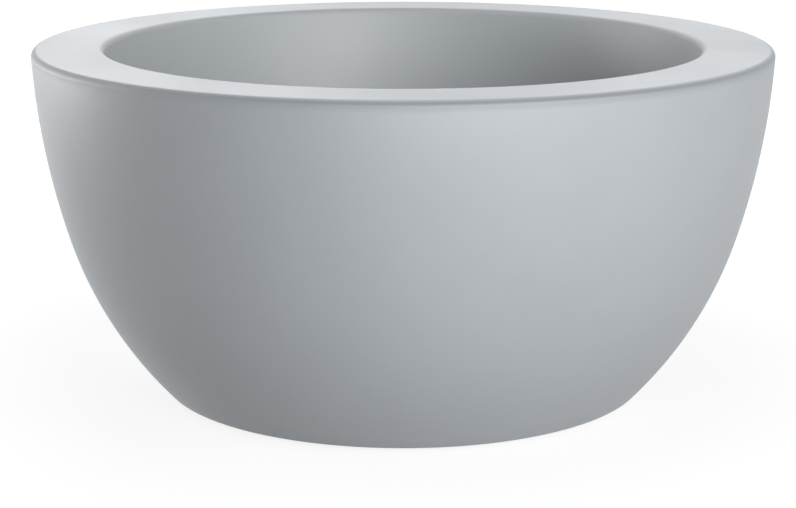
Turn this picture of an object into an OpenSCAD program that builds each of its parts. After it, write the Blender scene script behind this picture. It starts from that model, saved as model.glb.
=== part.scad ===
// Precast concrete bowl planter: a deep round bowl with a wide flat rim, cast round a steel cage.
// Millimetres, +Z up. The origin is on the ground, on the bowl's axis.
// Lean is the angle of a wall face from upright, growing as the wall turns in under the bowl.

/* [Bowl] */
// Diameter across the outside of the rim, where the bowl is widest
bowl_d = 914; // [880:2:960]
// Height of the casting, from its underside to the rim
bowl_h = 429; // [410:1:450]
// Diameter of the flat underside, up to its rounded edge
base_d = 600; // [570:2:630]
// Thickness of the wall, which is also the width of the rim
wall_t = 88; // [74:1:96]
// Thickness of the floor
floor_t = 80; // [76:1:100]
// Lean of the outside face just under the rim, in degrees
rim_lean = 2.5; // [1:0.1:4]
// Radius of the upper arc of the outside profile
upper_arc_r = 900; // [840:5:1000]
// Height of the upper arc, from the rim's edge down to the lower arc
upper_arc_h = 222; // [200:1:240]
// Radius of the fillet between wall and floor inside
floor_fillet_r = 60; // [40:1:80]

/* [Edges] */
// Radius of the rim's outer edge
rim_edge_r = 7.5; // [3:0.5:14]
// Radius of the rim's inner edge
rim_inner_edge_r = 8; // [3:0.5:14]
// Radius of the edge round the underside
base_edge_r = 8; // [3:0.5:14]

/* [Steel cage] */
// Diameter of the bars
bar_d = 10; // [8:1:12]
// Diameter of the ring bars
hoop_d = 10; // [8:1:12]
// Gap between crossing bars, taken up by the tie wire
tie_gap = 1; // [0.5:0.1:2]
// Concrete between the outside face and the ends of the wall bars
bar_cover = 31; // [26:1:33]
// Radius that the wall bars are rolled to
wall_bar_r = 640; // [600:5:700]
// Distance from the rim down to the tops of the wall bars
bar_top_drop = 35; // [30:1:42]
// Height of the feet of the wall bars above the underside
bar_foot_h = 40; // [38:1:46]
// Depth of the first wall hoop under the rim
rim_hoop_drop = 50; // [48:1:64]
// Spacing of the three wall hoops
hoop_pitch = 110; // [90:1:115]
// Height of the base hoop above the underside
base_hoop_h = 64; // [62:1:70]
// Length of the straight floor bars
floor_bar_l = 560; // [480:5:570]
// Distance of the floor bars from the axis
floor_bar_off = 90; // [80:1:100]
// Radius of the hoop round the drain, on top of the floor bars
drain_hoop_r = 110; // [106:1:130]

/* [Bar chairs] */
// Distance of each chair from the middle of its floor bar
chair_off = 170; // [120:1:190]
// Diameter of a chair's foot on the underside
chair_foot_d = 8; // [6:1:12]
// Diameter of a chair's head under the bar
chair_head_d = 16; // [15:1:20]

/* [Drain] */
// Bore of the outlet under the plug
outlet_d = 40; // [32:1:42]
// Bore of the socket that the plug sits in
socket_d = 44; // [43:1:50]
// Wall of the sleeve round the socket
sleeve_wall = 3; // [2:0.5:5]
// Diameter of the collar that shows in the floor
collar_d = 72; // [68:1:80]
// Thickness of the collar
collar_t = 4; // [3:0.5:8]
// Diameter of the water bar that keys the sleeve into the concrete
water_bar_d = 70; // [64:1:80]
// Thickness of the water bar
water_bar_t = 3; // [2:0.5:6]
// Height of the water bar above the underside
water_bar_h = 24; // [12:1:36]

/* [Plug] */
// Length of the plug's body in the socket
plug_l = 30; // [20:1:34]
// Clearance round the top of the plug's body
plug_clear = 0.3; // [0.2:0.1:1]
// How much thinner the plug's body is at its tip, on the radius
plug_taper = 1.5; // [0.5:0.1:4]
// Space in the socket under the plug's tip
plug_tip_clear = 2; // [1:0.5:6]
// Diameter of the plug's head
plug_head_d = 60; // [54:1:66]
// Thickness of the plug's head
plug_head_t = 6; // [4:0.5:9]
// Diameter of the neck between head and knob
plug_neck_d = 16; // [12:1:20]
// Height of the neck
plug_neck_h = 7; // [5:0.5:12]
// Diameter of the knob that the plug is pulled by
knob_d = 28; // [24:1:36]
// Thickness of the knob
knob_t = 9; // [6:0.5:12]
// Radius of the plug's outer edges
plug_edge_r = 1.5; // [0.5:0.1:1.9]

/* [Lifting sockets] */
// Diameter of the circle that the sockets stand on
socket_circle_d = 380; // [340:2:400]
// Outside diameter of a socket
insert_d = 22; // [18:1:26]
// Length of a socket
insert_l = 55; // [48:1:60]
// Bore of the thread, at its core
thread_d = 10.2; // [8.5:0.1:14]
// Depth of the thread
thread_l = 35; // [25:1:36]
// Diameter of an anchor pin
pin_d = 8; // [6:0.5:10]
// Length of an anchor pin
pin_l = 70; // [50:1:80]
// Height of the pin above the socket's foot
pin_up = 10; // [7:0.5:11]

/* [Feet] */
// Diameter of a foot pad
pad_d = 70; // [50:1:80]
// Diameter of the circle that the pads stand on
pad_circle_d = 470; // [440:2:480]
// Depth of the pad's recess in the underside
pad_recess = 6; // [4:0.5:10]
// Height that the pads hold the casting off the ground
ground_gap = 3; // [2:0.5:8]
// Clearance round a pad in its recess
pad_clear = 0.5; // [0.3:0.1:1.5]
// Chamfer round the foot of a pad
pad_chamfer = 1; // [0.5:0.1:1.8]

/* [Hidden] */

WALL_BARS = 8;
QUARTERS = 4;
// How far a cutting shape runs past the face that it cuts
past = 1;
// Step by which one arc of the profile passes under the next
seam = 0.005;
// Facets on round pieces: most of them, the thin bars, the arcs of the profile, and what is turned from it
$fn = 96;
small_fn = 48;
profile_fn = 480;
revolve_fn = 192;

concrete = [0.74, 0.76, 0.78];
bar_steel = [0.42, 0.36, 0.32];
socket_steel = [0.72, 0.72, 0.70];
grey_plastic = [0.50, 0.52, 0.54];
black_rubber = [0.12, 0.12, 0.13];

// Direction of a face's outward normal in the profile, which is drawn as [radius, height]
function facing(lean) = [cos(lean), -sin(lean)];
// Centre of a fillet that sits inside a round wall of the given centre and radius, on a level line
function fillet_centre(centre, wall_r, level, fillet_r) =
    [centre.x + sqrt((wall_r - fillet_r) ^ 2 - (level + fillet_r - centre.y) ^ 2), level + fillet_r];
// Lean at which one point of the profile is seen from another
function lean_from(centre, point) = atan2(centre.y - point.y, point.x - centre.x);

// Levels
base_z = ground_gap;
top_z = base_z + bowl_h;
floor_z = base_z + floor_t;

// Outside profile: rim edge, upper arc, lower arc, base edge, each running smoothly into the next
rim_edge_c = [bowl_d / 2 - rim_edge_r, top_z - rim_edge_r];
rim_edge_end = rim_edge_c + rim_edge_r * facing(rim_lean);
upper_c = rim_edge_end - upper_arc_r * facing(rim_lean);
join_lean = asin(sin(rim_lean) + upper_arc_h / upper_arc_r);
join = upper_c + upper_arc_r * facing(join_lean);
base_edge_c = [base_d / 2, base_z + base_edge_r];
join_from_edge = join - base_edge_c;
lower_arc_r = (join_from_edge * join_from_edge - base_edge_r ^ 2)
    / (2 * (join_from_edge * facing(join_lean) - base_edge_r));
lower_c = join - lower_arc_r * facing(join_lean);
base_lean = lean_from(lower_c, base_edge_c);
base_join = lower_c + lower_arc_r * facing(base_lean);

// Inside profile, one wall thickness in from the outside
inner_upper_r = upper_arc_r - wall_t;
inner_lower_r = lower_arc_r - wall_t;
inner_join = upper_c + inner_upper_r * facing(join_lean);
inner_edge_y = top_z - rim_inner_edge_r;
inner_edge_c = [
    upper_c.x + sqrt((inner_upper_r + rim_inner_edge_r) ^ 2 - (inner_edge_y - upper_c.y) ^ 2),
    inner_edge_y
];
inner_edge_end = upper_c + inner_upper_r * facing(lean_from(upper_c, inner_edge_c));
floor_fillet_c = fillet_centre(lower_c, inner_lower_r, floor_z, floor_fillet_r);
floor_fillet_end = lower_c + inner_lower_r * facing(lean_from(lower_c, floor_fillet_c));

// Steel cage. A wall bar is one arc between two points at an equal depth behind the outside face.
bar_depth = bar_cover + bar_d / 2;
bar_top_z = top_z - bar_top_drop;
bar_foot_z = base_z + bar_foot_h;
bar_top = [behind_face(bar_depth, bar_top_z), bar_top_z];
bar_foot = [behind_face(bar_depth, bar_foot_z), bar_foot_z];
bar_chord = bar_top - bar_foot;
bar_c = (bar_top + bar_foot) / 2
    + sqrt((wall_bar_r / norm(bar_chord)) ^ 2 - 1 / 4) * [-bar_chord.y, bar_chord.x];

// Radius, at a height, of the line that runs a depth behind the outside face
function behind_face(depth, height) = height > upper_c.y - (upper_arc_r - depth) * sin(join_lean)
    ? upper_c.x + sqrt((upper_arc_r - depth) ^ 2 - (height - upper_c.y) ^ 2)
    : lower_c.x + sqrt((lower_arc_r - depth) ^ 2 - (height - lower_c.y) ^ 2);

// Radius, at a height, of a hoop tied to the inner side of the wall bars
function hoop_r(height) =
    bar_c.x + sqrt((wall_bar_r - (bar_d + hoop_d) / 2 - tie_gap) ^ 2 - (height - bar_c.y) ^ 2);

// The floor bars lie in two crossing layers, with the drain hoop on top
lower_layer_z = base_z + bar_depth;
upper_layer_z = lower_layer_z + bar_d + tie_gap;
drain_hoop_z = upper_layer_z + (bar_d + hoop_d) / 2 + tie_gap;

// Drain
socket_depth = plug_l + plug_tip_clear;
sleeve_r = socket_d / 2 + sleeve_wall;
knob_bottom = plug_head_t + plug_neck_h;
knob_top = knob_bottom + knob_t;

// Lifting sockets
insert_foot_z = floor_z - insert_l;
pin_z = insert_foot_z + pin_up;

// Angle of a piece that repeats round the axis, half a step on from the X axis
function half_step_angle(index, count) = (index - 0.5) * 360 / count;
// Angle of a piece that repeats round the axis, starting on the X axis
function whole_step_angle(index, count) = (index - 1) * 360 / count;

// A level band of the section, from the axis out to a width
module level_band(width, low, high) {
    polygon([[0, low], [width, low], [width, high], [0, high]]);
}

// A level band of a disc, filled in to the axis: one stretch of a round profile
module disc_band(centre, radius, low, high) {
    intersection() {
        translate(centre) circle(radius, $fn = profile_fn);
        level_band(bowl_d, low, high);
    }
    if (centre.x > 0) level_band(centre.x, low, high);
}

// Half section of the casting as if it were solid. Each long arc lies a seam inside the arcs at its
// ends, so that it passes under them and leaves no ledge.
module outside_section() {
    translate(rim_edge_c) circle(rim_edge_r);
    level_band(rim_edge_c.x, rim_edge_end.y, top_z);
    disc_band(upper_c, upper_arc_r - 2 * seam, join.y, rim_edge_end.y);
    disc_band(lower_c, lower_arc_r - seam, base_join.y, rim_edge_end.y);
    translate(base_edge_c) circle(base_edge_r);
    level_band(base_edge_c.x, base_z, base_join.y);
}

// Half section of the hollow, open past the rim. Each arc reaches a seam further than the one above.
module hollow_section() {
    difference() {
        level_band(inner_edge_c.x, inner_edge_end.y, top_z + past);
        translate(inner_edge_c) circle(rim_inner_edge_r);
    }
    disc_band(upper_c, inner_upper_r + seam, inner_join.y, top_z);
    disc_band(lower_c, inner_lower_r + 2 * seam, floor_fillet_end.y, top_z);
    disc_band(floor_fillet_c, floor_fillet_r + 3 * seam, floor_z, inner_join.y);
    level_band(floor_fillet_c.x, floor_z, floor_fillet_end.y);
}

module bowl() {
    color(concrete)
    difference() {
        rotate_extrude($fn = revolve_fn)
            difference() {
                outside_section();
                hollow_section();
            }
        sleeve_form();
        rim_hoop();
        upper_wall_hoop();
        lower_wall_hoop();
        base_hoop();
        drain_hoop();
        for (i = [1:WALL_BARS]) wall_bar(i);
        for (i = [1:QUARTERS]) {
            floor_bar(i);
            chair_form(i);
            insert_form(i);
            anchor_pin(i);
            pad_recess_form(i);
        }
    }
}

// Ring bar: a hoop of round steel, level, about the axis
module hoop(radius, height) {
    color(bar_steel)
    translate([0, 0, height])
    rotate_extrude($fn = revolve_fn)
    translate([radius, 0])
    circle(d = hoop_d);
}

module wall_hoop(height) {
    hoop(hoop_r(height), height);
}

module rim_hoop() {
    wall_hoop(top_z - rim_hoop_drop);
}

module upper_wall_hoop() {
    wall_hoop(top_z - rim_hoop_drop - hoop_pitch);
}

module lower_wall_hoop() {
    wall_hoop(top_z - rim_hoop_drop - 2 * hoop_pitch);
}

module base_hoop() {
    wall_hoop(base_z + base_hoop_h);
}

module drain_hoop() {
    hoop(drain_hoop_r, drain_hoop_z);
}

// Wall bar: round steel rolled to one arc, upright in the wall
module wall_bar(index) {
    top_lean = lean_from(bar_c, bar_top);
    foot_lean = lean_from(bar_c, bar_foot);
    color(bar_steel)
    rotate(half_step_angle(index, WALL_BARS))
    translate([bar_c.x, 0, bar_c.y])
    rotate([90, 0, 0])
    rotate([0, 0, -foot_lean])
    rotate_extrude(angle = foot_lean - top_lean, $fn = profile_fn)
    translate([wall_bar_r, 0])
    circle(d = bar_d, $fn = small_fn);
}

// Floor bar: straight round steel. Bars 1 and 3 lie along X, and 2 and 4 along Y on top of them.
module floor_bar(index) {
    color(bar_steel)
    rotate(whole_step_angle(index, QUARTERS))
    translate([-floor_bar_l / 2, floor_bar_off, index % 2 == 1 ? lower_layer_z : upper_layer_z])
    rotate([0, 90, 0])
    cylinder(h = floor_bar_l, d = bar_d, $fn = small_fn);
}

// Body of a chair, up to the middle of the bar that it carries
module chair_form(index) {
    side_x = index < 3 ? 1 : -1;
    side_y = index % 2 == 1 ? 1 : -1;
    translate([side_x * chair_off, side_y * floor_bar_off, base_z])
    cylinder(h = bar_depth, d1 = chair_foot_d, d2 = chair_head_d);
}

// Bar chairs: plastic cones that hold the lower floor bars off the mould, each with a saddle on top
module bar_chairs() {
    color(grey_plastic)
    for (i = [1:QUARTERS])
        difference() {
            chair_form(i);
            floor_bar(1);
            floor_bar(3);
        }
}

// Outside of the drain sleeve: pipe, collar and water bar
module sleeve_form() {
    translate([0, 0, base_z]) cylinder(h = floor_t, r = sleeve_r);
    translate([0, 0, floor_z - collar_t]) cylinder(h = collar_t, d = collar_d);
    translate([0, 0, base_z + water_bar_h]) cylinder(h = water_bar_t, d = water_bar_d);
}

// Drain sleeve: plastic fitting cast in the floor, a socket above a narrower outlet
module drain_sleeve() {
    color(grey_plastic)
    difference() {
        sleeve_form();
        translate([0, 0, base_z - past]) cylinder(h = floor_t + 2 * past, d = outlet_d);
        translate([0, 0, floor_z - socket_depth]) cylinder(h = socket_depth + past, d = socket_d);
    }
}

// Drain plug: tapered rubber body, a head that rests on the collar, and a knob to pull it by
module drain_plug() {
    body_r = socket_d / 2 - plug_clear;
    color(black_rubber)
    translate([0, 0, floor_z]) {
        translate([0, 0, -plug_l]) cylinder(h = plug_l, r1 = body_r - plug_taper, r2 = body_r);
        rounded_disc(plug_head_d / 2, 0, plug_head_t);
        cylinder(h = knob_bottom + knob_t / 2, d = plug_neck_d);
        rounded_disc(knob_d / 2, knob_bottom, knob_top);
    }
}

// Disc with rounded outer edges
module rounded_disc(radius, low, high) {
    rotate_extrude()
    union() {
        translate([0, low]) square([radius - plug_edge_r, high - low]);
        translate([0, low + plug_edge_r]) square([radius, high - low - 2 * plug_edge_r]);
        translate([radius - plug_edge_r, low + plug_edge_r]) circle(plug_edge_r);
        translate([radius - plug_edge_r, high - plug_edge_r]) circle(plug_edge_r);
    }
}

// Outside of a lifting socket, on its circle
module insert_form(index) {
    rotate(whole_step_angle(index, QUARTERS))
    translate([socket_circle_d / 2, 0, insert_foot_z])
    cylinder(h = insert_l, d = insert_d);
}

// Lifting socket: threaded steel socket cast in the floor, opening upwards
module lifting_insert(index) {
    color(socket_steel)
    difference() {
        insert_form(index);
        rotate(whole_step_angle(index, QUARTERS))
            translate([socket_circle_d / 2, 0, floor_z - thread_l])
            cylinder(h = thread_l + past, d = thread_d);
        anchor_pin(index);
    }
}

// Anchor pin: steel pin through the foot of a lifting socket
module anchor_pin(index) {
    color(bar_steel)
    rotate(whole_step_angle(index, QUARTERS))
    translate([socket_circle_d / 2, pin_l / 2, pin_z])
    rotate([90, 0, 0])
    cylinder(h = pin_l, d = pin_d);
}

module pad_recess_form(index) {
    rotate(half_step_angle(index, QUARTERS))
    translate([pad_circle_d / 2, 0, base_z - past])
    cylinder(h = pad_recess + past, r = pad_d / 2 + pad_clear);
}

// Foot pad: rubber disc let into the underside, with a chamfered foot
module foot_pad(index) {
    color(black_rubber)
    rotate(half_step_angle(index, QUARTERS))
    translate([pad_circle_d / 2, 0, 0]) {
        cylinder(h = pad_chamfer, d1 = pad_d - 2 * pad_chamfer, d2 = pad_d);
        translate([0, 0, pad_chamfer])
            cylinder(h = base_z + pad_recess - pad_chamfer, d = pad_d);
    }
}

bowl();
rim_hoop();
upper_wall_hoop();
lower_wall_hoop();
base_hoop();
drain_hoop();
wall_bar(1);  // wall_bar_1
wall_bar(2);  // wall_bar_2
wall_bar(3);  // wall_bar_3
wall_bar(4);  // wall_bar_4
wall_bar(5);  // wall_bar_5
wall_bar(6);  // wall_bar_6
wall_bar(7);  // wall_bar_7
wall_bar(8);  // wall_bar_8
floor_bar(1);  // floor_bar_1
floor_bar(2);  // floor_bar_2
floor_bar(3);  // floor_bar_3
floor_bar(4);  // floor_bar_4
bar_chairs();
drain_sleeve();
drain_plug();
lifting_insert(1);  // lifting_insert_1
lifting_insert(2);  // lifting_insert_2
lifting_insert(3);  // lifting_insert_3
lifting_insert(4);  // lifting_insert_4
anchor_pin(1);  // anchor_pin_1
anchor_pin(2);  // anchor_pin_2
anchor_pin(3);  // anchor_pin_3
anchor_pin(4);  // anchor_pin_4
foot_pad(1);  // foot_pad_1
foot_pad(2);  // foot_pad_2
foot_pad(3);  // foot_pad_3
foot_pad(4);  // foot_pad_4
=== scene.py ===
from math import asin, atan2, cos, hypot, pi, radians, sin, sqrt

import bpy
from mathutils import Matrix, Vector


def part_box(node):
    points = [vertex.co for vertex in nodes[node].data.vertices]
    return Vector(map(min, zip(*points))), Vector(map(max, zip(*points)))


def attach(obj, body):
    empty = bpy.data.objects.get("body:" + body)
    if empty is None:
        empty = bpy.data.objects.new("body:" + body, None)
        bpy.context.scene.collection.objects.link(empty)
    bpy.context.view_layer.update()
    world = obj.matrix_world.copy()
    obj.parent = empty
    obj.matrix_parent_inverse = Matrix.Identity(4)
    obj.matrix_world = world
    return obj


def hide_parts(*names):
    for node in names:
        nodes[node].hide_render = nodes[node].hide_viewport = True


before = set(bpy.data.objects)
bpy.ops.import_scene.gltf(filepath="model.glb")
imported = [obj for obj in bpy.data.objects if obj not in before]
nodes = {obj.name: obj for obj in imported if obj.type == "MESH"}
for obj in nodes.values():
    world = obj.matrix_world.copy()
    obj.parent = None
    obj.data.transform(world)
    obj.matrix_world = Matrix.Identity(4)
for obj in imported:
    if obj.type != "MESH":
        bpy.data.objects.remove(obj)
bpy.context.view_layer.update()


# ---- Camera -------------------------------------------------------------------------------------
# The bowl is looked at from nearly three times its width away, from table height, so that the rim
# is seen as a narrow ellipse and the inside of the far wall shows over the near rim.
eye_distance = 2.560
eye_height = 0.771
camera_tilt = radians(13.4)
camera_lens = 93.3
picture_width = 796
axis_right_of_middle = 5.15

bpy.ops.object.select_all(action="DESELECT")
bpy.ops.object.camera_add(
    location=(0, -eye_distance, eye_height), rotation=(pi / 2 - camera_tilt, 0, 0)
)
camera = bpy.context.object
camera.name = "camera"
camera.data.lens = camera_lens
camera.data.sensor_width = 36
camera.data.shift_x = -axis_right_of_middle / picture_width
bpy.context.scene.camera = camera


# ---- Studio -------------------------------------------------------------------------------------
# A plain pale floor in a white studio. What looks at the floor sees it white, with the bowl's soft
# shadow on it, and the light that it sends back up is that of a grey floor.
floor_size = 12.0
floor_gap = 0.0002
floor_tone = (0.38, 0.38, 0.39, 1)
floor_seen_tone = (0.26, 0.26, 0.26, 1)
glow_near = 0.82
glow_far = 1.0
glow_spread = (0.45, 1.80)
studio_white = (1, 1, 1, 1)


def clear_nodes(material):
    material.use_nodes = True
    material.node_tree.nodes.clear()
    return material.node_tree


def add_node(tree, kind, inputs=None, **settings):
    made = tree.nodes.new(kind)
    for name, value in settings.items():
        setattr(made, name, value)
    for name, value in (inputs or {}).items():
        made.inputs[name].default_value = value
    return made


def seen_ray(tree):
    """1 where a ray comes from the camera, a reflection or through glass."""
    path = add_node(tree, "ShaderNodeLightPath")
    mirrored = add_node(tree, "ShaderNodeMath", operation="MAXIMUM")
    seen = add_node(tree, "ShaderNodeMath", operation="MAXIMUM")
    tree.links.new(path.outputs["Is Glossy Ray"], mirrored.inputs[0])
    tree.links.new(path.outputs["Is Transmission Ray"], mirrored.inputs[1])
    tree.links.new(path.outputs["Is Camera Ray"], seen.inputs[0])
    tree.links.new(mirrored.outputs[0], seen.inputs[1])
    return seen.outputs[0]


bpy.ops.mesh.primitive_plane_add(size=floor_size, location=(0, 0, -floor_gap))
floor = bpy.context.object
floor.name = "studio_floor"
floor_paint = bpy.data.materials.new("studio_floor_paint")
tree = clear_nodes(floor_paint)
bounce = add_node(tree, "ShaderNodeBsdfDiffuse", {"Color": floor_tone})
shadow_side = add_node(tree, "ShaderNodeBsdfDiffuse", {"Color": floor_seen_tone})
glow = add_node(tree, "ShaderNodeEmission", {"Color": studio_white})
place = add_node(tree, "ShaderNodeTexCoord")
reach = add_node(tree, "ShaderNodeVectorMath", operation="LENGTH")
rise = add_node(
    tree,
    "ShaderNodeMapRange",
    {
        "From Min": glow_spread[0],
        "From Max": glow_spread[1],
        "To Min": glow_near,
        "To Max": glow_far,
    },
    interpolation_type="SMOOTHSTEP",
)
seen_side = add_node(tree, "ShaderNodeAddShader")
either = add_node(tree, "ShaderNodeMixShader")
output = add_node(tree, "ShaderNodeOutputMaterial")
tree.links.new(place.outputs["Object"], reach.inputs[0])
tree.links.new(reach.outputs["Value"], rise.inputs["Value"])
tree.links.new(rise.outputs[0], glow.inputs["Strength"])
tree.links.new(shadow_side.outputs[0], seen_side.inputs[0])
tree.links.new(glow.outputs[0], seen_side.inputs[1])
tree.links.new(seen_ray(tree), either.inputs[0])
tree.links.new(bounce.outputs[0], either.inputs[1])
tree.links.new(seen_side.outputs[0], either.inputs[2])
tree.links.new(either.outputs[0], output.inputs[0])
floor.data.materials.append(floor_paint)

studio = bpy.data.worlds.new("studio")
bpy.context.scene.world = studio
tree = clear_nodes(studio)
white = add_node(tree, "ShaderNodeBackground", {"Color": studio_white})
output = add_node(tree, "ShaderNodeOutputWorld")
tree.links.new(seen_ray(tree), white.inputs["Strength"])
tree.links.new(white.outputs[0], output.inputs[0])

bpy.context.scene.view_settings.view_transform = "Standard"


# ---- Lamps --------------------------------------------------------------------------------------
# Round soft boxes about the bowl, each turned to its middle: the keys at the front and the right, a
# weak one overhead, two at the left that graze the bowl's side, and two weak ones behind that light
# the rim.
lamp_aim = Vector((0, 0, 0.22))
lamp_distance = 3.0
lamp_width = 1.3
SOFT_BOXES = {
    # name: (azimuth from the front, elevation, watts)
    "key": (25, 14, 41),
    "side_key": (50, 20, 25),
    "front": (0, 6, 16),
    "overhead": (0, 84, 19),
    "left_low": (-110, 2, 38),
    "left_high": (-120, 14, 20),
    "behind_left": (-165, 30, 16),
    "behind_right": (165, 30, 12),
}
for name, (azimuth, elevation, watts) in SOFT_BOXES.items():
    turn, lift = radians(azimuth), radians(elevation)
    outward = Vector((sin(turn) * cos(lift), -cos(turn) * cos(lift), sin(lift)))
    bpy.ops.object.light_add(type="AREA", location=lamp_aim + lamp_distance * outward)
    lamp = bpy.context.object
    lamp.name = "soft_box_" + name
    lamp.rotation_euler = outward.to_track_quat("Z", "Y").to_euler()
    lamp.data.shape = "DISK"
    lamp.data.size = lamp_width
    lamp.data.energy = watts


# ---- Bowl ---------------------------------------------------------------------------------------
# The casting: concrete poured between a steel mould and its core, vibrated, struck, and rubbed
# down. One closed wall, 88 mm thick, with a wide flat rim and a flat floor. It carries all else.
bowl_low, bowl_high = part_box("bowl")
bowl_r = bowl_high.x
base_z = bowl_low.z
rim_z = bowl_high.z
base_r = 0.300
wall = 0.088
floor_z = base_z + 0.080
rim_lean = radians(2.5)
upper_arc_r = 0.900
upper_arc_h = 0.222
floor_fillet_r = 0.060
rim_edge_r = 0.0075
rim_inner_edge_r = 0.008
base_edge_r = 0.008
collar_r = 0.036
collar_z = floor_z - 0.004
pipe_r = 0.025
water_bar_r = 0.035
water_bar_low = base_z + 0.024
water_bar_high = base_z + 0.027
edge_loop = 0.002
turning_steps = 288
weld_gap = 1e-5
near_enough = 1e-4
crease_angle = radians(30)


def facing(lean):
    """Direction in the half section, [radius, height], that leans down by an angle."""
    return Vector((cos(lean), -sin(lean)))


def lean_from(centre, point):
    return atan2(centre.y - point.y, point.x - centre.x)


rim_edge_c = Vector((bowl_r - rim_edge_r, rim_z - rim_edge_r))
upper_c = rim_edge_c + (rim_edge_r - upper_arc_r) * facing(rim_lean)
join_lean = asin(sin(rim_lean) + upper_arc_h / upper_arc_r)
join = upper_c + upper_arc_r * facing(join_lean)
base_edge_c = Vector((base_r, base_z + base_edge_r))
across = join - base_edge_c
lower_arc_r = (across.length_squared - base_edge_r**2) / (
    2 * (across.dot(facing(join_lean)) - base_edge_r)
)
lower_c = join - lower_arc_r * facing(join_lean)
base_lean = lean_from(lower_c, base_edge_c)

inner_edge_y = rim_z - rim_inner_edge_r
inner_edge_reach = upper_arc_r - wall + rim_inner_edge_r
inner_edge_c = Vector(
    (upper_c.x + sqrt(inner_edge_reach**2 - (inner_edge_y - upper_c.y) ** 2), inner_edge_y)
)
inner_edge_lean = lean_from(upper_c, inner_edge_c)
fillet_y = floor_z + floor_fillet_r
fillet_reach = lower_arc_r - wall - floor_fillet_r
fillet_c = Vector((lower_c.x + sqrt(fillet_reach**2 - (fillet_y - lower_c.y) ** 2), fillet_y))
fillet_lean = lean_from(lower_c, fillet_c)


def start_line(name, point):
    """A new piece of one point in the half section, ready to be drawn on in edit mode."""
    bpy.ops.object.select_all(action="DESELECT")
    bpy.ops.mesh.primitive_plane_add(size=0.001)
    piece = bpy.context.object
    piece.name = name
    bpy.ops.object.mode_set(mode="EDIT")
    bpy.ops.mesh.merge(type="CENTER")
    bpy.ops.transform.translate(value=(point[0], 0, point[1]))
    return piece


def line_by(out, up):
    bpy.ops.mesh.extrude_region_move(TRANSFORM_OT_translate={"value": (out, 0, up)})


def arc_by(centre, angle, steps):
    """Goes on round a centre in the half section. A positive angle turns outwards and up."""
    bpy.ops.mesh.spin(steps=steps, angle=angle, center=(centre[0], 0, centre[1]), axis=(0, 1, 0))


def turn_piece(piece, steps):
    """Turns the drawn half section about the bowl's axis and closes it."""
    bpy.ops.mesh.select_all(action="SELECT")
    bpy.ops.mesh.spin(steps=steps, angle=2 * pi, center=(0, 0, 0), axis=(0, 0, 1))
    bpy.ops.mesh.select_all(action="SELECT")
    bpy.ops.mesh.remove_doubles(threshold=weld_gap)
    bpy.ops.mesh.normals_make_consistent(inside=False)
    bpy.ops.object.mode_set(mode="OBJECT")
    return piece


bowl = start_line("bowl_casting", (collar_r, floor_z))
line_by(fillet_c.x - edge_loop - collar_r, 0)
line_by(edge_loop, 0)
arc_by(fillet_c, pi / 2 - fillet_lean, steps=14)
arc_by(lower_c, fillet_lean - join_lean, steps=22)
arc_by(upper_c, join_lean - inner_edge_lean, steps=26)
arc_by(inner_edge_c, -(pi / 2 + inner_edge_lean), steps=12)
line_by(edge_loop, 0)
line_by(rim_edge_c.x - inner_edge_c.x - 2 * edge_loop, 0)
line_by(edge_loop, 0)
arc_by(rim_edge_c, -(pi / 2 + rim_lean), steps=12)
arc_by(upper_c, rim_lean - join_lean, steps=28)
arc_by(lower_c, join_lean - base_lean, steps=24)
arc_by(base_edge_c, base_lean - pi / 2, steps=8)
line_by(-edge_loop, 0)
line_by(pipe_r - base_r + edge_loop, 0)
line_by(0, water_bar_low - base_z)
line_by(water_bar_r - pipe_r, 0)
line_by(0, water_bar_high - water_bar_low)
line_by(pipe_r - water_bar_r, 0)
line_by(0, collar_z - water_bar_high)
line_by(collar_r - pipe_r, 0)
line_by(0, floor_z - collar_z)
turn_piece(bowl, steps=turning_steps)

# The casting is formed round the lifting sockets and the feet of the bar chairs, and each foot pad
# has a recess in the underside, flared a little at its mouth so that the former pulls out.
pad_low, pad_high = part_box("foot_pad_1")
pad_fit = 0.0005
recess_r = (pad_high.x - pad_low.x) / 2 + pad_fit
recess_flare = 0.0012
chair_foot_r = 0.004
chair_foot_depth = 0.003
chair_rows = (-0.170, 0.170)
chair_columns = (-0.090, 0.090)


def spot(node):
    """Where a CAD node's middle stands, seen from above."""
    low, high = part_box(node)
    return (low.x + high.x) / 2, (low.y + high.y) / 2


def put_at(piece, place):
    """Moves a piece that was turned on the bowl's axis to its place, in its mesh."""
    bpy.ops.object.select_all(action="DESELECT")
    piece.select_set(True)
    bpy.context.view_layer.objects.active = piece
    bpy.ops.object.mode_set(mode="EDIT")
    bpy.ops.mesh.select_all(action="SELECT")
    bpy.ops.transform.translate(value=(place[0], place[1], 0))
    bpy.ops.object.mode_set(mode="OBJECT")


def copy_of(piece, name):
    """A copy of a piece with its own mesh."""
    bpy.ops.object.select_all(action="DESELECT")
    piece.select_set(True)
    bpy.context.view_layer.objects.active = piece
    bpy.ops.object.duplicate(linked=False)
    bpy.context.object.name = name
    return bpy.context.object


def form_hollows(casting, former):
    """Takes the shape of a former out of the casting, and the former away."""
    bpy.ops.object.select_all(action="DESELECT")
    casting.select_set(True)
    bpy.context.view_layer.objects.active = casting
    cut = casting.modifiers.new("former", "BOOLEAN")
    cut.operation = "DIFFERENCE"
    cut.solver = "EXACT"
    cut.object = former
    bpy.ops.object.modifier_apply(modifier=cut.name)
    bpy.data.objects.remove(former, do_unlink=True)


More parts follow.
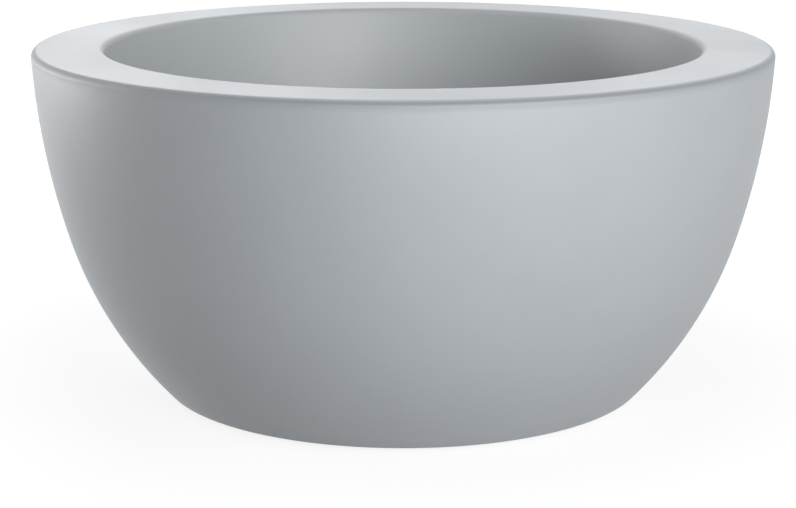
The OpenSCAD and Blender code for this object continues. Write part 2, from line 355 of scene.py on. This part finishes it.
recess = start_line("pad_former", (0, pad_high.z))
line_by(recess_r, 0)
line_by(0, base_z + recess_flare - pad_high.z)
line_by(recess_flare, -recess_flare)
line_by(0, -recess_flare)
line_by(-recess_r - recess_flare, 0)
turn_piece(recess, steps=96)
for index in (1, 2, 3, 4):
    former = copy_of(recess, f"pad_former_{index}")
    put_at(former, spot(f"foot_pad_{index}"))
    form_hollows(bowl, former)
bpy.data.objects.remove(recess, do_unlink=True)

for index in (1, 2, 3, 4):
    low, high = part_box(f"lifting_insert_{index}")
    bpy.ops.object.select_all(action="DESELECT")
    bpy.ops.mesh.primitive_cylinder_add(
        vertices=64,
        radius=(high.x - low.x) / 2,
        depth=2 * (high.z - low.z),
        location=(*spot(f"lifting_insert_{index}"), high.z),
    )
    form_hollows(bowl, bpy.context.object)
for foot_x in chair_rows:
    for foot_y in chair_columns:
        bpy.ops.object.select_all(action="DESELECT")
        bpy.ops.mesh.primitive_cylinder_add(
            vertices=32,
            radius=chair_foot_r,
            depth=2 * chair_foot_depth,
            location=(foot_x, foot_y, base_z),
        )
        form_hollows(bowl, bpy.context.object)

bpy.ops.object.select_all(action="DESELECT")
bowl.select_set(True)
bpy.context.view_layer.objects.active = bowl
bpy.ops.object.shade_smooth_by_angle(angle=crease_angle)
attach(bowl, "planter")
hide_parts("bowl")

# The inside is painted paler than the outside and the rim, a painted light that lifts the inside
# where little light reaches. So the casting's points are marked with the face that they are on.
inner_face = bowl.data.attributes.new("inner_face", "FLOAT", "POINT")
for point in bowl.data.vertices:
    radius, height = hypot(point.co.x, point.co.y), point.co.z
    centre, reach = (upper_c, upper_arc_r) if height > join.y else (lower_c, lower_arc_r)
    wall_middle = centre.x + sqrt((reach - wall / 2) ** 2 - (height - centre.y) ** 2)
    on_inside = floor_z - near_enough < height and radius < min(
        wall_middle, inner_edge_c.x - near_enough
    )
    inner_face.data[point.index].value = on_inside

# What the surfaces share: soft clouds, fine specks and a grain, each of the size that it is given.
speck_softness = 0.12

variation = bpy.data.node_groups.new("surface_variation", "ShaderNodeTree")
for name, kind, start in (
    ("Vector", "NodeSocketVector", None),
    ("Cloud Size", "NodeSocketFloat", 0.1),
    ("Speck Size", "NodeSocketFloat", 0.004),
    ("Speck Cover", "NodeSocketFloat", 0.5),
    ("Grain Size", "NodeSocketFloat", 0.001),
):
    socket = variation.interface.new_socket(name, in_out="INPUT", socket_type=kind)
    if start is not None:
        socket.default_value = start
for name in ("Clouds", "Specks", "Grain"):
    variation.interface.new_socket(name, in_out="OUTPUT", socket_type="NodeSocketFloat")
given = add_node(variation, "NodeGroupInput")
handed_on = add_node(variation, "NodeGroupOutput")


def scale_for(size_name):
    """A pattern's scale from the size of its features, in metres."""
    scale = add_node(variation, "ShaderNodeMath", {0: 1.0}, operation="DIVIDE")
    variation.links.new(given.outputs[size_name], scale.inputs[1])
    return scale.outputs[0]


clouds = add_node(variation, "ShaderNodeTexNoise", {"Detail": 4.0, "Roughness": 0.55})
cloud_range = add_node(
    variation, "ShaderNodeMapRange", {"From Min": 0.32, "From Max": 0.68}, clamp=True
)
specks = add_node(variation, "ShaderNodeTexNoise", {"Detail": 3.0, "Roughness": 0.65})
speck_edge = add_node(variation, "ShaderNodeMath", {1: speck_softness}, operation="ADD")
speck_range = add_node(variation, "ShaderNodeMapRange", clamp=True)
grain = add_node(variation, "ShaderNodeTexNoise", {"Detail": 5.0, "Roughness": 0.6})
for pattern, size_name in ((clouds, "Cloud Size"), (specks, "Speck Size"), (grain, "Grain Size")):
    variation.links.new(given.outputs["Vector"], pattern.inputs["Vector"])
    variation.links.new(scale_for(size_name), pattern.inputs["Scale"])
variation.links.new(clouds.outputs["Fac"], cloud_range.inputs["Value"])
variation.links.new(cloud_range.outputs[0], handed_on.inputs["Clouds"])
variation.links.new(specks.outputs["Fac"], speck_range.inputs["Value"])
variation.links.new(given.outputs["Speck Cover"], speck_edge.inputs[0])
variation.links.new(given.outputs["Speck Cover"], speck_range.inputs["From Min"])
variation.links.new(speck_edge.outputs[0], speck_range.inputs["From Max"])
variation.links.new(speck_range.outputs[0], handed_on.inputs["Specks"])
variation.links.new(grain.outputs["Fac"], handed_on.inputs["Grain"])


def add_variation(tree, cloud_size, speck_size, speck_cover, grain_size):
    place = add_node(tree, "ShaderNodeTexCoord")
    made = add_node(tree, "ShaderNodeGroup", node_tree=variation)
    for name, value in (
        ("Cloud Size", cloud_size),
        ("Speck Size", speck_size),
        ("Speck Cover", speck_cover),
        ("Grain Size", grain_size),
    ):
        made.inputs[name].default_value = value
    tree.links.new(place.outputs["Object"], made.inputs["Vector"])
    return made


def blend_colours(tree, mask, below, above):
    """One colour going over into another where a mask rises. Either may be a socket. The Mix
    node's colours are its inputs 6 and 7 and its output 2."""
    mix = add_node(tree, "ShaderNodeMix", data_type="RGBA")
    tree.links.new(mask, mix.inputs["Factor"])
    for socket, colour in ((mix.inputs[6], below), (mix.inputs[7], above)):
        if isinstance(colour, tuple):
            socket.default_value = colour
        else:
            tree.links.new(colour, socket)
    return mix.outputs[2]


def range_of(tree, mask, low, high):
    """A mask from 0 to 1 spread over another range."""
    spread = add_node(tree, "ShaderNodeMapRange", {"To Min": low, "To Max": high}, clamp=True)
    tree.links.new(mask, spread.inputs["Value"])
    return spread.outputs[0]


def finish_surface(material, colour, roughness, height, bump_depth, bump_strength, **plain):
    """The shader of a material. What is the same all over is set on the shader's own sockets."""
    tree = material.node_tree
    shader = add_node(tree, "ShaderNodeBsdfPrincipled", plain)
    output = add_node(tree, "ShaderNodeOutputMaterial")
    bump = add_node(tree, "ShaderNodeBump", {"Strength": bump_strength, "Distance": bump_depth})
    tree.links.new(colour, shader.inputs["Base Color"])
    tree.links.new(roughness, shader.inputs["Roughness"])
    tree.links.new(height, bump.inputs["Height"])
    tree.links.new(bump.outputs["Normal"], shader.inputs["Normal"])
    tree.links.new(shader.outputs[0], output.inputs[0])
    return shader


concrete_shade = (0.362, 0.388, 0.410, 1)
concrete_light = (0.384, 0.410, 0.432, 1)
concrete_sand = (0.340, 0.362, 0.380, 1)
# Painted light: the inside's colour, paler than the outside.
concrete_inside_painted_light = (0.450, 0.475, 0.492, 1)
# Painted light: the rim's flat top, paler and bluer than the rest.
concrete_top_painted_light = (0.394, 0.427, 0.464, 1)
# Painted shade: the dark band just under the rim's top edge.
concrete_painted_shade = (0.13, 0.138, 0.146, 1)
# Painted shade: the darkness inside each pore.
concrete_pore_painted_shade = (0.16, 0.165, 0.17, 1)
mottle_share = 0.30
speck_share = 0.35
inside_painted_light_share = 0.8
top_painted_light_share = 0.9
top_painted_light_depth = 0.001
sealed_roughness = (0.46, 0.52)
arris_band_depth = 0.014
painted_shade_front = 0.77
painted_shade_behind = 0.04
painted_shade_inside = 0.12
arris_roughness = 0.66
painted_shade_side = radians(20)
painted_shade_reach = 0.45
pore_spacing = 0.016
pore_r = 0.0006

concrete = bpy.data.materials.new("fine_cast_concrete")
tree = clear_nodes(concrete)
surface = add_variation(
    tree, cloud_size=0.16, speck_size=0.0016, speck_cover=0.58, grain_size=0.0009
)
mottle = add_variation(
    tree, cloud_size=0.011, speck_size=0.0006, speck_cover=0.60, grain_size=0.0003
)
face = add_node(tree, "ShaderNodeAttribute", attribute_name="inner_face")
place = add_node(tree, "ShaderNodeTexCoord")
cast_face = blend_colours(tree, surface.outputs["Clouds"], concrete_shade, concrete_light)
mottle_mask = range_of(tree, mottle.outputs["Clouds"], 0.0, mottle_share)
cast_face = blend_colours(tree, mottle_mask, cast_face, concrete_light)
speck_mask = range_of(tree, surface.outputs["Specks"], 0.0, speck_share)
cast_face = blend_colours(tree, speck_mask, cast_face, concrete_sand)
inside_painted_light_mask = range_of(tree, face.outputs["Fac"], 0.0, inside_painted_light_share)
# Painted light: the inside is made paler than the outside.
cast_face = blend_colours(tree, inside_painted_light_mask, cast_face, concrete_inside_painted_light)

# The flat of the rim is painted paler and bluer, a painted light on the top that catches the most
# light.
# Just under the top, round the arris, a band of painted shade darkens the colour. It is deepest at
# the front and right and faint behind and inside, and the band is rougher as well.
height_above = add_node(tree, "ShaderNodeSeparateXYZ")
rim_top_band = add_node(
    tree, "ShaderNodeMapRange", {"From Min": rim_z - top_painted_light_depth, "From Max": rim_z}, clamp=True
)
under_rim = add_node(
    tree, "ShaderNodeMapRange", {"From Min": rim_z - arris_band_depth, "From Max": rim_z}, clamp=True
)
arris_band = add_node(tree, "ShaderNodeValToRGB")
arris_band.color_ramp.elements[0].color = (0, 0, 0, 1)
arris_band.color_ramp.elements[1].color = (0, 0, 0, 1)
for stop, darkness in ((0.36, 0.25), (0.60, 0.60), (0.74, 1.0), (0.84, 0.85), (0.93, 0.25)):
    arris_band.color_ramp.elements.new(stop).color = (darkness, darkness, darkness, 1)
towards_front = add_node(
    tree,
    "ShaderNodeVectorMath",
    {1: (sin(painted_shade_side), -cos(painted_shade_side), 0)},
    operation="DOT_PRODUCT",
)
painted_shade_round = add_node(
    tree,
    "ShaderNodeMapRange",
    {
        "From Min": painted_shade_reach * bowl_r,
        "From Max": bowl_r,
        "To Min": painted_shade_behind,
        "To Max": painted_shade_front,
    },
    clamp=True,
)
painted_shade_most = add_node(tree, "ShaderNodeMix", {"B": painted_shade_inside})
painted_shade_part = add_node(tree, "ShaderNodeMath", operation="MULTIPLY")
tree.links.new(place.outputs["Object"], towards_front.inputs[0])
tree.links.new(towards_front.outputs["Value"], painted_shade_round.inputs["Value"])
tree.links.new(face.outputs["Fac"], painted_shade_most.inputs["Factor"])
tree.links.new(painted_shade_round.outputs[0], painted_shade_most.inputs["A"])
tree.links.new(place.outputs["Object"], height_above.inputs[0])
tree.links.new(height_above.outputs["Z"], rim_top_band.inputs["Value"])
tree.links.new(height_above.outputs["Z"], under_rim.inputs["Value"])
tree.links.new(under_rim.outputs[0], arris_band.inputs["Fac"])
tree.links.new(arris_band.outputs["Color"], painted_shade_part.inputs[0])
tree.links.new(painted_shade_most.outputs["Result"], painted_shade_part.inputs[1])
painted_shade_mask = painted_shade_part.outputs[0]
top_painted_light_mask = range_of(tree, rim_top_band.outputs[0], 0.0, top_painted_light_share)
# Painted light: the rim's flat top is made paler.
cast_face = blend_colours(tree, top_painted_light_mask, cast_face, concrete_top_painted_light)
# Painted shade: the band under the rim's top is darkened, most at the front and right.
cast_face = blend_colours(tree, painted_shade_mask, cast_face, concrete_painted_shade)

# Here and there an air bubble against the mould has left a pore.
bubbles = add_node(tree, "ShaderNodeTexVoronoi", {"Scale": 1 / pore_spacing})
pores = add_node(
    tree,
    "ShaderNodeMapRange",
    {
        "From Min": 0.5 * pore_r / pore_spacing,
        "From Max": pore_r / pore_spacing,
        "To Min": 1.0,
        "To Max": 0.0,
    },
    clamp=True,
)
tree.links.new(place.outputs["Object"], bubbles.inputs["Vector"])
tree.links.new(bubbles.outputs["Distance"], pores.inputs["Value"])
# Painted shade: each pore is darkened as well as pitted.
cast_face = blend_colours(tree, pores.outputs[0], cast_face, concrete_pore_painted_shade)
pitted = add_node(tree, "ShaderNodeMath", operation="SUBTRACT")
tree.links.new(surface.outputs["Grain"], pitted.inputs[0])
tree.links.new(pores.outputs[0], pitted.inputs[1])

sealed = range_of(tree, surface.outputs["Clouds"], *sealed_roughness)
rough = add_node(tree, "ShaderNodeMix", {"B": arris_roughness})
tree.links.new(arris_band.outputs["Color"], rough.inputs["Factor"])
tree.links.new(sealed, rough.inputs["A"])
finish_surface(
    concrete,
    cast_face,
    rough.outputs["Result"],
    pitted.outputs[0],
    bump_depth=0.0003,
    bump_strength=0.3,
    **{"Specular IOR Level": 1.0},
)
bowl.data.materials.append(concrete)


# ---- Steel cage ---------------------------------------------------------------------------------
# Round steel bars in the wall and the floor: eight uprights rolled to one arc, four level rings
# tied inside them, four straight bars that cross in the floor and a ring round the drain. Hot
# rolled, with blue-black mill scale and the light rust of a yard, and cast in for good.
mill_scale = (0.075, 0.072, 0.075, 1)
mill_scale_worn = (0.17, 0.15, 0.14, 1)
yard_rust = (0.24, 0.095, 0.035, 1)
bar_roughness = (0.48, 0.86)
bar_metal = (0.75, 0.0)

bar_steel = bpy.data.materials.new("rolled_bar_steel")
tree = clear_nodes(bar_steel)
surface = add_variation(
    tree, cloud_size=0.035, speck_size=0.006, speck_cover=0.52, grain_size=0.0008
)
scaled = blend_colours(tree, surface.outputs["Clouds"], mill_scale, mill_scale_worn)
shader = finish_surface(
    bar_steel,
    blend_colours(tree, surface.outputs["Specks"], scaled, yard_rust),
    range_of(tree, surface.outputs["Specks"], *bar_roughness),
    surface.outputs["Grain"],
    bump_depth=0.0003,
    bump_strength=0.5,
)
tree.links.new(range_of(tree, surface.outputs["Specks"], *bar_metal), shader.inputs["Metallic"])


def repaint(node, material):
    """Gives a CAD node that stays as it is another material."""
    piece = nodes[node]
    piece.data.materials.clear()
    piece.data.materials.append(material)


for node in nodes:
    if node.endswith("_hoop") or node.startswith(("wall_bar_", "floor_bar_")):
        repaint(node, bar_steel)


# ---- Bar chairs ---------------------------------------------------------------------------------
# Four moulded plastic cones that hold the lower floor bars off the mould, each with a saddle for
# its bar. Their feet show as grey dots in the underside.
chair_grey = (0.20, 0.21, 0.22, 1)
chair_grey_light = (0.25, 0.26, 0.27, 1)
chair_scuff = (0.33, 0.34, 0.34, 1)
chair_roughness = (0.42, 0.62)

chair_plastic = bpy.data.materials.new("moulded_chair_plastic")
tree = clear_nodes(chair_plastic)
surface = add_variation(
    tree, cloud_size=0.012, speck_size=0.0015, speck_cover=0.58, grain_size=0.0005
)
moulded = blend_colours(tree, surface.outputs["Clouds"], chair_grey, chair_grey_light)
finish_surface(
    chair_plastic,
    blend_colours(tree, surface.outputs["Specks"], moulded, chair_scuff),
    range_of(tree, surface.outputs["Specks"], *chair_roughness),
    surface.outputs["Grain"],
    bump_depth=0.0001,
    bump_strength=0.3,
)
repaint("bar_chairs", chair_plastic)


# ---- Drain sleeve -------------------------------------------------------------------------------
# A turned plastic fitting cast in the floor: a flat collar level with the floor, a socket for the
# plug above a narrower outlet, and a water bar round the pipe that keys it into the concrete.
outlet_r = 0.020
socket_r = 0.022
seat_z = floor_z - 0.032
fitting_edge = 0.0006
fitting_lip = 0.0008

sleeve = start_line("drain_fitting", (outlet_r + fitting_edge, base_z))
line_by(pipe_r - outlet_r - 2 * fitting_edge, 0)
line_by(fitting_edge, fitting_edge)
line_by(0, water_bar_low - base_z - fitting_edge)
line_by(water_bar_r - pipe_r - fitting_edge, 0)
line_by(fitting_edge, fitting_edge)
line_by(0, water_bar_high - water_bar_low - 2 * fitting_edge)
line_by(-fitting_edge, fitting_edge)
line_by(pipe_r - water_bar_r + fitting_edge, 0)
line_by(0, collar_z - water_bar_high)
line_by(collar_r - pipe_r, 0)
line_by(0, floor_z - collar_z - fitting_lip)
arc_by((collar_r - fitting_lip, floor_z - fitting_lip), pi / 2, steps=5)
line_by(socket_r - collar_r + 2 * fitting_lip, 0)
arc_by((socket_r + fitting_lip, floor_z - fitting_lip), pi / 2, steps=5)
line_by(0, seat_z - floor_z + fitting_lip)
line_by(outlet_r - socket_r + fitting_edge, 0)
line_by(-fitting_edge, -fitting_edge)
line_by(0, base_z - seat_z + 2 * fitting_edge)
line_by(fitting_edge, -fitting_edge)
turn_piece(sleeve, steps=120)
bpy.ops.object.shade_smooth_by_angle(angle=crease_angle)
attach(sleeve, "planter")
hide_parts("drain_sleeve")

fitting_grey = (0.115, 0.12, 0.13, 1)
fitting_grey_light = (0.14, 0.146, 0.155, 1)
lime_stain = (0.34, 0.34, 0.33, 1)
stain_share = 0.5
fitting_roughness = (0.38, 0.66)

fitting_plastic = bpy.data.materials.new("turned_fitting_plastic")
tree = clear_nodes(fitting_plastic)
surface = add_variation(
    tree, cloud_size=0.03, speck_size=0.004, speck_cover=0.62, grain_size=0.0006
)
turned = blend_colours(tree, surface.outputs["Clouds"], fitting_grey, fitting_grey_light)
stain = range_of(tree, surface.outputs["Specks"], 0.0, stain_share)
finish_surface(
    fitting_plastic,
    blend_colours(tree, stain, turned, lime_stain),
    range_of(tree, surface.outputs["Specks"], *fitting_roughness),
    surface.outputs["Grain"],
    bump_depth=0.0001,
    bump_strength=0.3,
)
sleeve.data.materials.append(fitting_plastic)


# ---- Drain plug ---------------------------------------------------------------------------------
# A moulded rubber plug: a tapered body with three sealing ribs that presses into the sleeve, a
# head that lies on the collar, and a fluted knob on a neck to pull it out by.
plug_low, plug_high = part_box("drain_plug")
plug_tip_r = 0.0202
plug_top_r = 0.0217
head_r = plug_high.x
head_top = floor_z + 0.006
neck_r = 0.008
neck_fillet = 0.0015
knob_low = floor_z + 0.013
knob_r = 0.014
rubber_edge = 0.0015
head_ring_out = 0.026
head_ring_in = 0.019
head_ring_depth = 0.0007
ribs = 3
rib_spacing = 0.008
rib_depth = 0.0012
rib_slope = 0.001
rib_crest = 3 * rib_slope
rib_hollow = rib_spacing - rib_crest - 2 * rib_slope
flutes = 12
steps_per_flute = 8
flute_depth = 0.0009
fluted_from_r = knob_r - 0.0016

plug_taper = (plug_top_r - plug_tip_r) / (floor_z - plug_low.z)
plug = start_line("drain_stopper", (0, plug_low.z))
line_by(plug_tip_r - rubber_edge, 0)
line_by(rubber_edge, rubber_edge)
for rib in range(ribs):
    line_by(plug_taper * rib_slope - rib_depth, rib_slope)
    line_by(plug_taper * rib_hollow, rib_hollow)
    line_by(rib_depth + plug_taper * rib_slope, rib_slope)
    line_by(plug_taper * rib_crest, rib_crest)
reached = plug_low.z + rubber_edge + ribs * rib_spacing
line_by(plug_taper * (floor_z - reached), floor_z - reached)
line_by(head_r - rubber_edge - plug_tip_r - plug_taper * (floor_z - plug_low.z - rubber_edge), 0)
arc_by((head_r - rubber_edge, floor_z + rubber_edge), pi / 2, steps=6)
line_by(0, head_top - floor_z - 2 * rubber_edge)
arc_by((head_r - rubber_edge, head_top - rubber_edge), pi / 2, steps=6)
line_by(head_ring_out - head_r + rubber_edge, 0)
line_by(-head_ring_depth, -head_ring_depth)
line_by(head_ring_in - head_ring_out + 2 * head_ring_depth, 0)
line_by(-head_ring_depth, head_ring_depth)
line_by(neck_r + neck_fillet - head_ring_in, 0)
arc_by((neck_r + neck_fillet, head_top + neck_fillet), -pi / 2, steps=5)
line_by(0, knob_low - head_top - 2 * neck_fillet)
arc_by((neck_r + neck_fillet, knob_low - neck_fillet), -pi / 2, steps=5)
line_by(knob_r - neck_r - neck_fillet - rubber_edge, 0)
arc_by((knob_r - rubber_edge, knob_low + rubber_edge), pi / 2, steps=6)
line_by(0, plug_high.z - knob_low - 2 * rubber_edge)
arc_by((knob_r - rubber_edge, plug_high.z - rubber_edge), pi / 2, steps=6)
line_by(rubber_edge - knob_r, 0)
turn_piece(plug, steps=flutes * steps_per_flute)

# The flutes: of every eight points round the knob's side three are drawn in, the middle one most.
for steps_off_middle, share in ((1, 0.6), (0, 1.0)):
    for point in plug.data.vertices:
        step = round(atan2(point.co.y, point.co.x) / (2 * pi) * flutes * steps_per_flute)
        off = abs((step + steps_per_flute // 2) % steps_per_flute - steps_per_flute // 2)
        radius = hypot(point.co.x, point.co.y)
        on_side = point.co.z > knob_low - weld_gap and radius > fluted_from_r
        point.select = on_side and off == steps_off_middle
    for edge in plug.data.edges:
        edge.select = False
    for face in plug.data.polygons:
        face.select = False
    bpy.ops.object.mode_set(mode="EDIT")
    shrink = 1 - share * flute_depth / knob_r
    bpy.ops.transform.resize(value=(shrink, shrink, 1), center_override=(0, 0, 0))
    bpy.ops.object.mode_set(mode="OBJECT")
bpy.ops.object.shade_smooth_by_angle(angle=crease_angle)
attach(plug, "plug")
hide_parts("drain_plug")

rubber_black = (0.022, 0.022, 0.024, 1)
rubber_worn = (0.040, 0.040, 0.042, 1)
cement_dust = (0.20, 0.20, 0.195, 1)
rubber_roughness = (0.52, 0.68)
plug_dust = 0.25


def moulded_rubber(name, dust):
    """Black rubber, a little grey where it is handled, with some of the yard's dust on it."""
    rubber = bpy.data.materials.new(name)
    tree = clear_nodes(rubber)
    surface = add_variation(
        tree, cloud_size=0.02, speck_size=0.0016, speck_cover=0.60, grain_size=0.0005
    )
    worn = blend_colours(tree, surface.outputs["Clouds"], rubber_black, rubber_worn)
    dust_mask = range_of(tree, surface.outputs["Specks"], 0.0, dust)
    finish_surface(
        rubber,
        blend_colours(tree, dust_mask, worn, cement_dust),
        range_of(tree, surface.outputs["Clouds"], *rubber_roughness),
        surface.outputs["Grain"],
        bump_depth=0.0001,
        bump_strength=0.4,
    )
    return rubber


plug.data.materials.append(moulded_rubber("moulded_plug_rubber", plug_dust))


# ---- Lifting sockets ----------------------------------------------------------------------------
# Four turned steel sockets cast in the floor, zinc plated, threaded for lifting eyes and held in
# the concrete by a cross pin through the foot of each. The mouth is chamfered to start the eye.
thread_core_r = 0.0051
thread_depth = 0.0008
thread_pitch = 0.00175
thread_turns = 19
thread_length = 0.035
mouth_r = 0.0066
turned_edge = 0.0006
socket_low, socket_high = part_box("lifting_insert_1")
socket_out_r = (socket_high.x - socket_low.x) / 2
thread_end_z = socket_high.z - thread_length
drill_cone = 0.0028

first_socket = start_line("lifting_socket_1", (0, socket_low.z))
line_by(socket_out_r - turned_edge, 0)
line_by(turned_edge, turned_edge)
line_by(0, socket_high.z - socket_low.z - 1.5 * turned_edge)
line_by(-turned_edge / 2, turned_edge / 2)
line_by(mouth_r - socket_out_r + turned_edge / 2, 0)
line_by(thread_core_r - mouth_r, thread_core_r - mouth_r)
thread_top_z = socket_high.z - (mouth_r - thread_core_r)
for turn in range(thread_turns - 1):
    line_by(0, -thread_pitch / 8)
    line_by(thread_depth, -thread_pitch * 3 / 8)
    line_by(0, -thread_pitch / 8)
    line_by(-thread_depth, -thread_pitch * 3 / 8)
line_by(0, thread_end_z - thread_top_z + thread_pitch * (thread_turns - 1))
line_by(-thread_core_r, -drill_cone)
turn_piece(first_socket, steps=64)
bpy.ops.object.shade_smooth_by_angle(angle=crease_angle)

zinc_bright = (0.60, 0.61, 0.62, 1)
zinc_dull = (0.47, 0.48, 0.49, 1)
white_rust = (0.62, 0.62, 0.60, 1)
zinc_roughness = (0.28, 0.42)
zinc_metal = (1.0, 0.2)

zinc_plate = bpy.data.materials.new("zinc_plated_steel")
tree = clear_nodes(zinc_plate)
surface = add_variation(
    tree, cloud_size=0.006, speck_size=0.0014, speck_cover=0.62, grain_size=0.0003
)
plated = blend_colours(tree, surface.outputs["Clouds"], zinc_bright, zinc_dull)
shader = finish_surface(
    zinc_plate,
    blend_colours(tree, surface.outputs["Specks"], plated, white_rust),
    range_of(tree, surface.outputs["Clouds"], *zinc_roughness),
    surface.outputs["Grain"],
    bump_depth=0.00005,
    bump_strength=0.3,
)
tree.links.new(range_of(tree, surface.outputs["Specks"], *zinc_metal), shader.inputs["Metallic"])
first_socket.data.materials.append(zinc_plate)

sockets = [first_socket] + [copy_of(first_socket, f"lifting_socket_{n}") for n in (2, 3, 4)]
for index, socket in enumerate(sockets, start=1):
    put_at(socket, spot(f"lifting_insert_{index}"))
    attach(socket, "planter")
    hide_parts(f"lifting_insert_{index}")
    repaint(f"anchor_pin_{index}", bar_steel)


# ---- Foot pads ----------------------------------------------------------------------------------
# Four rubber discs let into the underside, which hold the casting just off the ground. Moulded
# with a chamfered foot and rings of grooves that grip the ground.
pad_r = (pad_high.x - pad_low.x) / 2
pad_chamfer = 0.001
groove_width = 0.003
groove_depth = 0.0009
groove_lean = 0.0004
land_width = 0.0035
grooves = 4
pad_border = 0.0045
pad_dust = 0.55

first_pad = start_line("foot_pad_rubber_1", (0, pad_high.z))
line_by(pad_r - pad_chamfer, 0)
line_by(pad_chamfer, -pad_chamfer)
line_by(0, pad_low.z + 2 * pad_chamfer - pad_high.z)
line_by(-pad_chamfer, -pad_chamfer)
line_by(-pad_border, 0)
for groove in range(grooves):
    line_by(-groove_lean, groove_depth)
    line_by(2 * groove_lean - groove_width, 0)
    line_by(-groove_lean, -groove_depth)
    line_by(-land_width, 0)
line_by(pad_chamfer + pad_border + grooves * (groove_width + land_width) - pad_r, 0)
turn_piece(first_pad, steps=96)
bpy.ops.object.shade_smooth_by_angle(angle=crease_angle)
first_pad.data.materials.append(moulded_rubber("moulded_pad_rubber", pad_dust))

pads = [first_pad] + [copy_of(first_pad, f"foot_pad_rubber_{n}") for n in (2, 3, 4)]
for index, pad in enumerate(pads, start=1):
    put_at(pad, spot(f"foot_pad_{index}"))
    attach(pad, "planter")
    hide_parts(f"foot_pad_{index}")
